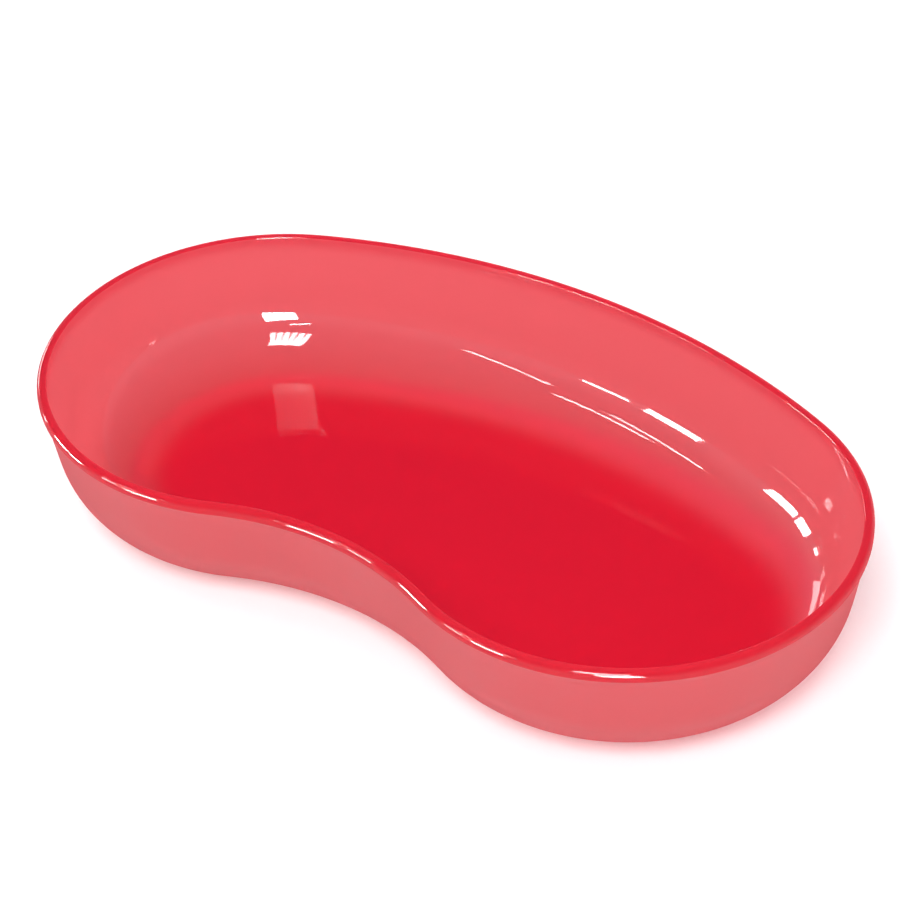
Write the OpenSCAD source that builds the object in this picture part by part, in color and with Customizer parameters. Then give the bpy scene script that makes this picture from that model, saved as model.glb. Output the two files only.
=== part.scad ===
// Kidney dish: a shallow bowl with a kidney-shaped outline, moulded in one go from one translucent
// plastic. X runs along its length, Y across it with the notch towards -Y, and Z up. The origin is on
// the table, under the middle of the dish.
//
// The outline is an oval bent along a circle: the back and the notch are arcs about one centre, the
// bend's, and each end is half a circle. The upright sections of the wall and the rim follow it.

/* [Outline] */
// Length over the rim
length = 250; // [230:5:300]
// Radius of the round ends over the rim, half the width of the bent oval
end_radius = 65.5; // [55:0.5:70]
// Radius of the circle that the oval's middle line is bent along
bend_radius = 150; // [120:5:300]

/* [Bowl] */
// Height of the rim above the table
height = 40; // [34:1:60]
// Thickness of the side wall and the floor
wall = 2; // [1.2:0.1:3]
// Lean of the side wall from upright, in degrees
flare = 9; // [3:1:14]
// Outer radius where the side wall curves into the floor
floor_radius = 24; // [10:1:28]

/* [Rim] */
// Height of the bead that stiffens the rim
bead_height = 2.8; // [2:0.1:4]
// How far the bead stands out from the side wall
bead_lip = 0.8; // [0.6:0.1:2]
// Radius of the bead's outer upper edge
crown_radius = 1.4; // [0.6:0.1:1.4]

/* [Hidden] */
$fn = 128;

// The bend's centre is outside the dish, across from the notch, and each end's centre is turned round
// it by end_turn from the middle.
end_turn = asin((length / 2 - end_radius) / bend_radius);
bend_rise = bend_radius * (1 - cos(end_turn));
width = 2 * end_radius + bend_rise;
bend_y = end_radius - width / 2 - bend_radius * cos(end_turn);
// How far past the middle each half of the dish is swept, in degrees
halves_overlap = 1;
// Longer than any distance in the outline
reach = 2 * (bend_radius + length);

// The upright section. Depths are measured inwards from the rim's outer edge.
bead_bottom = height - bead_height;
bead_width = bead_lip + wall / cos(flare);
// Radii of the bead's inner upper edge and outer lower edge
inner_edge_radius = 0.4;
heel_radius = 0.5;
straight_drop = bead_bottom - floor_radius * (1 - sin(flare));
curve_depth = bead_lip + straight_drop * tan(flare) + floor_radius * cos(flare);

// Where the wall's curve turns into its straight stretch, a distance r from the curve's centre
function wall_point(r) = [curve_depth - r * cos(flare), floor_radius - r * sin(flare)];

// The quarter disc about centre that points along way, such as [1, -1]
module quarter(centre, r, way) {
    translate(centre)
        intersection() {
            circle(r);
            translate([min(way[0], 0) * r, min(way[1], 0) * r]) square(r);
        }
}

// Section of the side wall, with its depth along X: the curve up from the floor, and the straight
// stretch that leans out to the bead. A square inside the wall's thickness crosses the joint between them,
// so that they overlap.
module wall_section() {
    inner_radius = floor_radius - wall;
    intersection() {
        translate([curve_depth, floor_radius])
            difference() {
                circle(floor_radius);
                circle(inner_radius);
            }
        polygon([
            [curve_depth, floor_radius],
            [curve_depth, -wall],
            [curve_depth - 2 * floor_radius, -wall],
            wall_point(2 * floor_radius)
        ]);
    }
    polygon([
        wall_point(floor_radius),
        [bead_lip, bead_bottom],
        [bead_width, bead_bottom],
        wall_point(inner_radius)
    ]);
    translate(wall_point(floor_radius - wall / 2)) square(wall / 2, center = true);
}

// Section of the rim's bead, with its depth along X: flat under it, and with its other edges rounded
module bead_section() {
    crown_bottom = height - crown_radius;
    edge_bottom = height - inner_edge_radius;
    heel_top = bead_bottom + heel_radius;
    quarter([crown_radius, crown_bottom], crown_radius, [-1, 1]);
    quarter([bead_width - inner_edge_radius, edge_bottom], inner_edge_radius, [1, 1]);
    quarter([heel_radius, heel_top], heel_radius, [-1, -1]);
    translate([crown_radius, heel_top])
        square([bead_width - inner_edge_radius - crown_radius, height - heel_top]);
    translate([0, heel_top]) square([bead_width, crown_bottom - heel_top]);
    translate([crown_radius, heel_top]) square([bead_width - crown_radius, edge_bottom - heel_top]);
    translate([heel_radius, bead_bottom]) square([bead_width - heel_radius, heel_radius]);
}

// Draws the right end's frame, and its mirror image for the left end. Each frame's origin is the bend's
// centre, the end's own centre is bend_radius along its X, and the middle of the dish is towards its +Y.
module at_ends() {
    for (side = [0, 1])
        mirror([side, 0, 0])
            rotate([0, 0, 90 - end_turn]) children();
}

// Sweeps a section along the whole outline. Each half has half a turn round its end, and then the back
// and the notch round the bend to just past the middle of the dish, so that the halves join there.
module around() {
    translate([0, bend_y, 0])
        at_ends() {
            translate([bend_radius, 0, 0])
                rotate([0, 0, 180])
                    rotate_extrude(angle = 180)
                        translate([end_radius, 0]) mirror([1, 0]) children();
            rotate_extrude(angle = end_turn + halves_overlap)
                translate([bend_radius + end_radius, 0]) mirror([1, 0]) children();
            rotate_extrude(angle = end_turn + halves_overlap)
                translate([bend_radius - end_radius, 0]) children();
        }
}

// The kidney outline, set in by depth from the rim's outer edge: the middle, round the bend, and half a
// disc at each end. A square inside each disc's circle crosses the joint, so that the three overlap.
module kidney(depth) {
    translate([0, bend_y]) {
        difference() {
            circle(bend_radius + end_radius - depth);
            circle(bend_radius - end_radius + depth);
            at_ends() translate([-reach, -reach]) square([2 * reach, reach]);
        }
        at_ends()
            translate([bend_radius, 0]) {
                square(end_radius - depth, center = true);
                intersection() {
                    circle(end_radius - depth);
                    translate([-reach, -reach]) square([2 * reach, reach]);
                }
            }
    }
}

module rim() {
    color("#e12d3c") around() bead_section();
}

module side_wall() {
    color("#ea5a60") around() wall_section();
}

module base() {
    color("#e2192e") linear_extrude(wall) kidney(curve_depth);
}

rim();
side_wall();
base();
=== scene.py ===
"""The kidney dish as one glossy, translucent red moulding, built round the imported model.

Lengths are in metres and angles in degrees unless a name says otherwise. X runs along the dish, Y
across it with the notch towards -Y, and Z up from the table.
"""

import math

import bmesh
import bpy
from mathutils import Matrix, Quaternion, Vector


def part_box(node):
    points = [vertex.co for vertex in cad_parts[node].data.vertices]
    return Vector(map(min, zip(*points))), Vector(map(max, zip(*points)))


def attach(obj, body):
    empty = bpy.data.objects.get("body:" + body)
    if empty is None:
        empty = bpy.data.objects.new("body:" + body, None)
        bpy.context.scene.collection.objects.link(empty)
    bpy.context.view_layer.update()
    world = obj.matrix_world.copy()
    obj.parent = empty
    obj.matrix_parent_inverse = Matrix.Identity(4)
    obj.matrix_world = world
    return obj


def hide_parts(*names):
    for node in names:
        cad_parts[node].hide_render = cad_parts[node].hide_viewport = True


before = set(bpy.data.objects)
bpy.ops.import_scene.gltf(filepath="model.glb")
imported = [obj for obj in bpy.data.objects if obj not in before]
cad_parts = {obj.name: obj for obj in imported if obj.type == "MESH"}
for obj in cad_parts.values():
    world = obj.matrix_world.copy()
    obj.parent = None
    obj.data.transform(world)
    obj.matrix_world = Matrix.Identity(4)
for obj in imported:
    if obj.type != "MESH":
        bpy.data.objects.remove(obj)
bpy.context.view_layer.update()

# ---- The dish's driving dimensions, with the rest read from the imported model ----

RIM_LOW, RIM_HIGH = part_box("rim")
WALL_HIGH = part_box("side_wall")[1]
BASE_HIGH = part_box("base")[1]

BEND_RADIUS = 0.150
END_RADIUS = 0.0655
FLARE = math.radians(9)
FLOOR_RADIUS = 0.024
CROWN_RADIUS = 0.0014
INNER_EDGE_RADIUS = 0.0004
HEEL_RADIUS = 0.0005
HALF_LENGTH = RIM_HIGH.x
HEIGHT = RIM_HIGH.z
BEAD_BOTTOM = RIM_LOW.z
BEAD_LIP = HALF_LENGTH - WALL_HIGH.x
WALL = BASE_HIGH.z
FLAT_DEPTH = HALF_LENGTH - BASE_HIGH.x
BEAD_WIDTH = BEAD_LIP + WALL / math.cos(FLARE)

# Points closer together than this are one point
SAME_PLACE = 1e-6

END_TURN = math.asin((HALF_LENGTH - END_RADIUS) / BEND_RADIUS)
BEND_Y = RIM_HIGH.y - BEND_RADIUS - END_RADIUS


# ---- The moulding's mesh ----


def arc(centre, radius, start, stop, steps):
    """Points of a section round an arc, from one angle to another, without the first point."""
    points = []
    for step in range(1, steps + 1):
        angle = start + (stop - start) * step / steps
        points.append((centre[0] + radius * math.cos(angle), centre[1] + radius * math.sin(angle)))
    return points


def line(start, stop, steps):
    """Points of a section along a straight line, without the first point."""
    return [
        tuple(a + (b - a) * step / steps for a, b in zip(start, stop)) for step in range(1, steps + 1)
    ]


def section():
    """The moulding's upright section as (depth inwards from the rim's edge, height) points.

    It starts at the edge of the flat floor, goes up the inside, over the rim and down the outside, and
    ends at the edge of the flat underside.
    """
    quarter = math.pi / 2
    inner_radius = FLOOR_RADIUS - WALL
    curve_centre = (FLAT_DEPTH, FLOOR_RADIUS)
    fillet = 0.25 * BEAD_LIP

    points = [(FLAT_DEPTH, WALL)]
    points += arc(curve_centre, inner_radius, -quarter, -2 * quarter + FLARE, 20)
    points += line(points[-1], (BEAD_WIDTH, BEAD_BOTTOM), 8)
    points += line(points[-1], (BEAD_WIDTH, HEIGHT - INNER_EDGE_RADIUS), 2)
    edge_centre = (BEAD_WIDTH - INNER_EDGE_RADIUS, HEIGHT - INNER_EDGE_RADIUS)
    points += arc(edge_centre, INNER_EDGE_RADIUS, 0, quarter, 5)
    points += line(points[-1], (CROWN_RADIUS, HEIGHT), 3)
    points += arc((CROWN_RADIUS, HEIGHT - CROWN_RADIUS), CROWN_RADIUS, quarter, 2 * quarter, 9)
    points += line(points[-1], (0, BEAD_BOTTOM + HEEL_RADIUS), 3)
    points += arc((HEEL_RADIUS, BEAD_BOTTOM + HEEL_RADIUS), HEEL_RADIUS, 2 * quarter, 3 * quarter, 4)
    points += line(points[-1], (BEAD_LIP - fillet, BEAD_BOTTOM), 1)
    points += line(points[-1], (BEAD_LIP + fillet * math.tan(FLARE), BEAD_BOTTOM - fillet), 1)
    wall_end = (
        FLAT_DEPTH - FLOOR_RADIUS * math.cos(FLARE),
        FLOOR_RADIUS - FLOOR_RADIUS * math.sin(FLARE),
    )
    points += line(points[-1], wall_end, 8)
    points += arc(curve_centre, FLOOR_RADIUS, -2 * quarter + FLARE, -quarter, 22)
    return points


def stations():
    """Places round the outline, as (centre, radius at the rim's edge, sign, direction) each.

    At a depth, the outline's point is centre + (radius + sign * depth) * direction. They go round the
    right end, along the back, round the left end and along the notch.
    """
    end_steps, bend_steps = 72, 60
    bend_centre = Vector((0, BEND_Y))
    places = []

    def add_end(side):
        centre = bend_centre + BEND_RADIUS * Vector((side * math.sin(END_TURN), math.cos(END_TURN)))
        for step in range(end_steps):
            angle = END_TURN + math.pi * (step / end_steps if side < 0 else 1 - step / end_steps)
            places.append((centre, END_RADIUS, -1, Vector((side * math.sin(angle), math.cos(angle)))))

    def add_bend(radius, sign, way):
        for step in range(bend_steps):
            angle = way * END_TURN * (1 - 2 * step / bend_steps)
            places.append((bend_centre, radius, sign, Vector((math.sin(angle), math.cos(angle)))))

    add_end(1)
    add_bend(BEND_RADIUS + END_RADIUS, -1, 1)
    add_end(-1)
    add_bend(BEND_RADIUS - END_RADIUS, 1, -1)
    return places


def bead_share(depth, height):
    """1 on the top and the outside of the rim's bead, and 0 on its inner side and below it."""
    on_bead = height > BEAD_BOTTOM - SAME_PLACE
    on_top = height > HEIGHT - INNER_EDGE_RADIUS / 2
    return 1.0 if on_bead and (depth < BEAD_WIDTH / 2 or on_top) else 0.0


def floor_share(depth, along):
    """1 on the flat floor, fading to 0 up the curve of the wall, and further up it at the right end, so
    that the floor's painted shade reaches higher there.
    """
    outer, inner = FLAT_DEPTH - 0.012, FLAT_DEPTH + 0.004
    # Moves the floor's painted shade further up the curve towards the right end
    shift = 0.007 * along / HALF_LENGTH
    part = (depth + shift - outer) / (inner - outer)
    part = min(max(part, 0), 1)
    return part * part * (3 - 2 * part)


def moulding_mesh():
    """One closed skin: rings at each point of the section, and the two faces of the flat floor."""
    floor_steps = 16
    floor_depths = [
        FLAT_DEPTH + (END_RADIUS - FLAT_DEPTH) * step / floor_steps for step in range(floor_steps, 0, -1)
    ]
    rings = [(depth, WALL) for depth in floor_depths]
    rings += section()
    rings += [(depth, 0) for depth in reversed(floor_depths)]

    places = stations()
    count = len(places)
    verts = []
    for depth, height in rings:
        for centre, radius, sign, way in places:
            at = centre + (radius + sign * depth) * way
            verts.append((at.x, at.y, height))
    faces = []
    for ring in range(len(rings) - 1):
        for place in range(count):
            a = ring * count + place
            b = ring * count + (place + 1) % count
            faces.append((a, b, b + count, a + count))
    mesh = bpy.data.meshes.new("dish_moulding")
    mesh.from_pydata(verts, [], faces)
    bead = mesh.attributes.new("bead", "FLOAT", "POINT")
    floor = mesh.attributes.new("floor", "FLOAT", "POINT")
    for ring, (depth, height) in enumerate(rings):
        for vert in range(ring * count, (ring + 1) * count):
            bead.data[vert].value = bead_share(depth, height)
            floor.data[vert].value = floor_share(depth, verts[vert][0])
    return mesh


def build_moulding():
    """The dish's one piece. At the middle of the floor the two sides of each ring meet and are merged."""
    mesh = moulding_mesh()
    piece = bpy.data.objects.new("dish_moulding", mesh)
    bpy.context.scene.collection.objects.link(piece)
    bm = bmesh.new()
    bm.from_mesh(mesh)
    bmesh.ops.remove_doubles(bm, verts=bm.verts, dist=SAME_PLACE)
    bmesh.ops.recalc_face_normals(bm, faces=bm.faces)
    for face in bm.faces:
        face.smooth = True
    bm.to_mesh(mesh)
    bm.free()
    return piece


# ---- Material ----


def node(tree, kind, inputs=None, **settings):
    """Adds a node, with its settings and the default values of its inputs."""
    made = tree.nodes.new(kind)
    for name, value in settings.items():
        setattr(made, name, value)
    for name, value in (inputs or {}).items():
        made.inputs[name].default_value = value
    return made


def red_plastic():
    """Milky, see-through red plastic with a polished skin.

    Light that reaches a skin of the moulding is scattered through it and tinted, so what has passed one
    wall is pink, and what has gone down through the floor and back up is deep red. The wall, the curve
    low on it, the floor and the bead have a tint each, by the mesh's "floor" and "bead" values. The
    floor's deeper tint is painted shade, for the shade it sits in on the table, and the curve's brighter
    tint is painted light, lifting the shade low on the curve near the table. The polish mirrors by
    Fresnel up to a limit, only where a skin faces outwards, and less on the floor.
    """
    passed_share = 0.9
    wave_scale, wave_height = 130.0, 0.00003
    polish_roughness, mirror_limit, floor_wear = 0.035, 0.12, 0.5
    # These bring the curve's painted light, its brighter tint, in fast above the wall's zone and out well
    # before the floor's
    curve_fade, curve_scale = 3.0, 9.5

    mat = bpy.data.materials.new("red_plastic")
    mat.use_nodes = True
    tree = mat.node_tree
    tree.nodes.clear()
    link = tree.links.new
    out = node(tree, "ShaderNodeOutputMaterial")

    def calculated(operation, first, second):
        """A Math node. Each of its two inputs is a number, or a socket to link."""
        made = node(tree, "ShaderNodeMath", operation=operation)
        for number, value in enumerate((first, second)):
            if isinstance(value, (int, float)):
                made.inputs[number].default_value = value
            else:
                link(value, made.inputs[number])
        return made.outputs[0]

    bead = node(tree, "ShaderNodeAttribute", attribute_name="bead").outputs["Fac"]
    floor = node(tree, "ShaderNodeAttribute", attribute_name="floor").outputs["Fac"]
    # 0 in the wall's zone and in the floor's, and up to 1 low on the curve between them, where a brighter
    # tint is painted light
    rest = calculated("POWER", calculated("SUBTRACT", 1.0, floor), curve_fade)
    curve = calculated("MULTIPLY", calculated("MULTIPLY", floor, rest), curve_scale)

    def blend(start, end, share):
        """A colour that turns from start to end, a fixed colour, by share."""
        mix = node(tree, "ShaderNodeMix", data_type="RGBA")
        mix.inputs[7].default_value = (*end, 1)
        if isinstance(start, tuple):
            mix.inputs[6].default_value = (*start, 1)
        else:
            link(start, mix.inputs[6])
        link(share, mix.inputs[0])
        return mix.outputs[2]

    def zoned(wall_colour, curve_colour_and_light, floor_colour_and_shade, bead_colour):
        """A colour for each of the moulding's zones, blended where they meet."""
        return blend(blend(blend(wall_colour, floor_colour_and_shade, floor), curve_colour_and_light, curve), bead_colour, bead)

    scattered = node(tree, "ShaderNodeBsdfDiffuse")
    passed = node(tree, "ShaderNodeBsdfTranslucent")
    # The floor's tints are deepened as painted shade, and the curve's are brightened as painted light
    link(
        zoned((0.76, 0.38, 0.42), (0.82, 0.28, 0.38), (0.80, 0.03, 0.15), (0.60, 0.03, 0.06)),
        scattered.inputs["Color"],
    )
    link(
        zoned((0.880, 0.300, 0.322), (0.915, 0.272, 0.328), (0.898, 0.242, 0.298), (0.84, 0.11, 0.16)),
        passed.inputs["Color"],
    )
    body = node(tree, "ShaderNodeMixShader", {"Fac": passed_share})
    link(scattered.outputs[0], body.inputs[1])
    link(passed.outputs[0], body.inputs[2])

    # Faint waves in the skin, with none on the bead
    place = node(tree, "ShaderNodeTexCoord")
    waves = node(tree, "ShaderNodeTexNoise", {"Scale": wave_scale, "Detail": 2.0})
    link(place.outputs["Object"], waves.inputs["Vector"])
    level = calculated("SUBTRACT", waves.outputs["Fac"], 0.5)
    less = calculated("SUBTRACT", 1.0, bead)
    skin = node(tree, "ShaderNodeBump", {"Strength": 1.0, "Distance": wave_height})
    link(calculated("MULTIPLY", level, less), skin.inputs["Height"])

    polish = node(tree, "ShaderNodeBsdfAnisotropic", {"Color": (1, 1, 1, 1), "Roughness": polish_roughness})
    mirror = node(tree, "ShaderNodeFresnel", {"IOR": 1.5})
    link(skin.outputs[0], polish.inputs["Normal"])
    link(skin.outputs[0], mirror.inputs["Normal"])
    side = node(tree, "ShaderNodeNewGeometry")
    outside = calculated("SUBTRACT", 1.0, side.outputs["Backfacing"])
    worn = calculated("SUBTRACT", 1.0, calculated("MULTIPLY", floor, floor_wear))
    share = calculated("MULTIPLY", calculated("MINIMUM", mirror.outputs[0], mirror_limit), outside)
    share = calculated("MULTIPLY", share, worn)
    surface = node(tree, "ShaderNodeMixShader")
    link(share, surface.inputs[0])
    link(body.outputs[0], surface.inputs[1])
    link(polish.outputs[0], surface.inputs[2])
    link(surface.outputs[0], out.inputs["Surface"])
    return mat


# ---- Camera, table and light ----


def turned(azimuth, elevation):
    """The unit vector at an azimuth from -Y towards +X and an elevation above the table."""
    a, e = math.radians(azimuth), math.radians(elevation)
    return Vector((math.sin(a) * math.cos(e), -math.cos(a) * math.cos(e), math.sin(e)))


def make_camera():
    """A long lens from in front of the dish's notch, to its right and well above it."""
    azimuth, elevation, roll = 35.7, 38.7, -2.1
    distance, aim_right, aim_up = 0.7945, 0.0005, 0.0203
    back = turned(azimuth, elevation)
    level = Vector((math.cos(math.radians(azimuth)), math.sin(math.radians(azimuth)), 0))
    rise = back.cross(level)
    r = math.radians(roll)
    right = math.cos(r) * level + math.sin(r) * rise
    up = math.cos(r) * rise - math.sin(r) * level
    data = bpy.data.cameras.new("camera")
    data.sensor_width = 36
    data.lens = 109.6
    data.clip_start = 0.05
    camera = bpy.data.objects.new("camera", data)
    place = back * distance + right * aim_right + up * aim_up
    camera.matrix_world = Matrix.Translation(place) @ Matrix((right, up, back)).transposed().to_4x4()
    bpy.context.scene.collection.objects.link(camera)
    bpy.context.scene.camera = camera


def make_table():
    """A plain white table, a hair below the dish's underside, and dimmer where the polish mirrors it."""
    half, gap = 6.0, 0.0002
    mesh = bpy.data.meshes.new("table")
    mesh.from_pydata(
        [(-half, -half, -gap), (half, -half, -gap), (half, half, -gap), (-half, half, -gap)],
        [],
        [(0, 1, 2, 3)],
    )
    table = bpy.data.objects.new("table", mesh)
    bpy.context.scene.collection.objects.link(table)
    mat = bpy.data.materials.new("table_white")
    mat.use_nodes = True
    tree = mat.node_tree
    shader = tree.nodes["Principled BSDF"]
    path = node(tree, "ShaderNodeLightPath")
    seen = node(tree, "ShaderNodeMix", data_type="RGBA")
    seen.inputs[6].default_value = (0.92, 0.92, 0.92, 1)
    seen.inputs[7].default_value = (0.45, 0.45, 0.45, 1)
    tree.links.new(path.outputs["Is Glossy Ray"], seen.inputs[0])
    tree.links.new(seen.outputs[2], shader.inputs["Base Color"])
    shader.inputs["Roughness"].default_value = 0.9
    shader.inputs["Specular IOR Level"].default_value = 0
    shader.inputs["Emission Color"].default_value = (1, 1, 1, 1)
    shader.inputs["Emission Strength"].default_value = 0.1
    mesh.materials.append(mat)


def panel(name, azimuth, elevation, wide, high, brightness, mirrored, roll=0, distance=3.0):
    """A rectangular light that faces the dish, by its direction, its angular size and its radiance.

    A mirrored one only shows in the polish, and the others only light what they fall on.
    """
    way = turned(azimuth, elevation)
    width = 2 * distance * math.tan(math.radians(wide / 2))
    height = 2 * distance * math.tan(math.radians(high / 2))
    data = bpy.data.lights.new(name, "AREA")
    data.shape = "RECTANGLE"
    data.size = width
    data.size_y = height
    data.energy = brightness * math.pi * width * height
    light = bpy.data.objects.new(name, data)
    light.location = way * distance
    light.rotation_mode = "QUATERNION"
    spin = Quaternion((0, 0, 1), math.radians(roll))
    light.rotation_quaternion = way.to_track_quat("Z", "Y") @ spin
    light.visible_camera = False
    light.visible_glossy = mirrored
    light.visible_diffuse = not mirrored
    light.visible_transmission = not mirrored
    bpy.context.scene.collection.objects.link(light)


def window(name, azimuth, elevation, wide, high, brightness, roll=0):
    """A window that shows in the polish and lights nothing."""
    panel(name, azimuth, elevation, wide, high, brightness, True, roll)


def barred_window(name, azimuth, elevation, wide, high, panes, brightness):
    """A window of tall panes with dark bars between them."""
    step = wide / panes
    pane_share = 0.88
    for pane in range(panes):
        across = azimuth + (pane + 0.5 - panes / 2) * step / math.cos(math.radians(elevation))
        window(f"{name}_{pane}", across, elevation, step * pane_share, high, brightness)


def make_sky():
    """Soft light from all round, from a white backdrop that rises a little over the table.

    The polish mirrors a dimmer sky than the one that lights the dish, so its colours stay deep.
    """
    world = bpy.data.worlds.new("sky")
    world.use_nodes = True
    tree = world.node_tree
    link = tree.links.new
    place = node(tree, "ShaderNodeTexCoord")
    parts = node(tree, "ShaderNodeSeparateXYZ")
    link(place.outputs["Generated"], parts.inputs[0])
    rise = node(tree, "ShaderNodeMapRange", {1: 0.25, 2: 0.6}, interpolation_type="SMOOTHSTEP")
    link(parts.outputs["Z"], rise.inputs[0])

    def faded(low, high):
        """A colour that fades from low by the horizon to high overhead."""
        mix = node(tree, "ShaderNodeMix", data_type="RGBA")
        mix.inputs[6].default_value = (*low, 1)
        mix.inputs[7].default_value = (*high, 1)
        link(rise.outputs[0], mix.inputs[0])
        return mix.outputs[2]

    path = node(tree, "ShaderNodeLightPath")
    seen = node(tree, "ShaderNodeMix", data_type="RGBA")
    link(path.outputs["Is Glossy Ray"], seen.inputs[0])
    link(faded((1.15, 1.17, 1.2), (0.32, 0.33, 0.35)), seen.inputs[6])
    link(faded((0.45, 0.48, 0.55), (0.03, 0.04, 0.10)), seen.inputs[7])
    link(seen.outputs[2], tree.nodes["Background"].inputs["Color"])
    bpy.context.scene.world = world


def make_light():
    """The sky, five panels that light the scene, and the windows that show in the polish."""
    make_sky()
    panel("key_front", 22, 53, 24, 24, 12.3, False)
    panel("key_left", -85, 66, 30, 30, 1.5, False)
    panel("back", -150, 16, 100, 26, 1.0, False)
    panel("right", 100, 45, 30, 30, 0.9, False)
    panel("front", 15, 9, 80, 14, 1.3, False)

    window("window_low", 31, 15, 17, 19, 60, roll=10)
    window("window_slit", 18.5, 30, 11, 1.6, 40, roll=20)
    barred_window("window_barred", 22, 54, 17, 20, 6, 26)
    window("window_row_a", -20.5, 32, 17, 1.0, 26, roll=-36)
    window("window_row_b", -30.8, 14.5, 6.8, 2.3, 45)
    window("window_row_c", -41.2, 14, 8.2, 6, 60)
    window("window_row_d", -44.5, 46, 12, 1.4, 26)
    window("window_row_e", -50, 41, 13, 1.4, 26)
    window("window_left_a", -60.5, 10, 7.5, 13.5, 60)
    window("window_left_b", -71.5, 11.5, 9.5, 13, 60)
    window("window_left_c", -86, 9, 4, 8, 25)
    window("window_left_d", -108, 12.5, 15, 14, 7)
    window("window_rim", -23.5, 5, 15, 7, 110)


def set_colours():
    """Plain display colours, so that the whites clip and the reds stay deep."""
    bpy.context.scene.view_settings.view_transform = "Standard"


make_camera()
make_table()
make_light()
set_colours()

moulding = build_moulding()
moulding.data.materials.append(red_plastic())
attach(moulding, "root")
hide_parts("rim", "side_wall", "base")
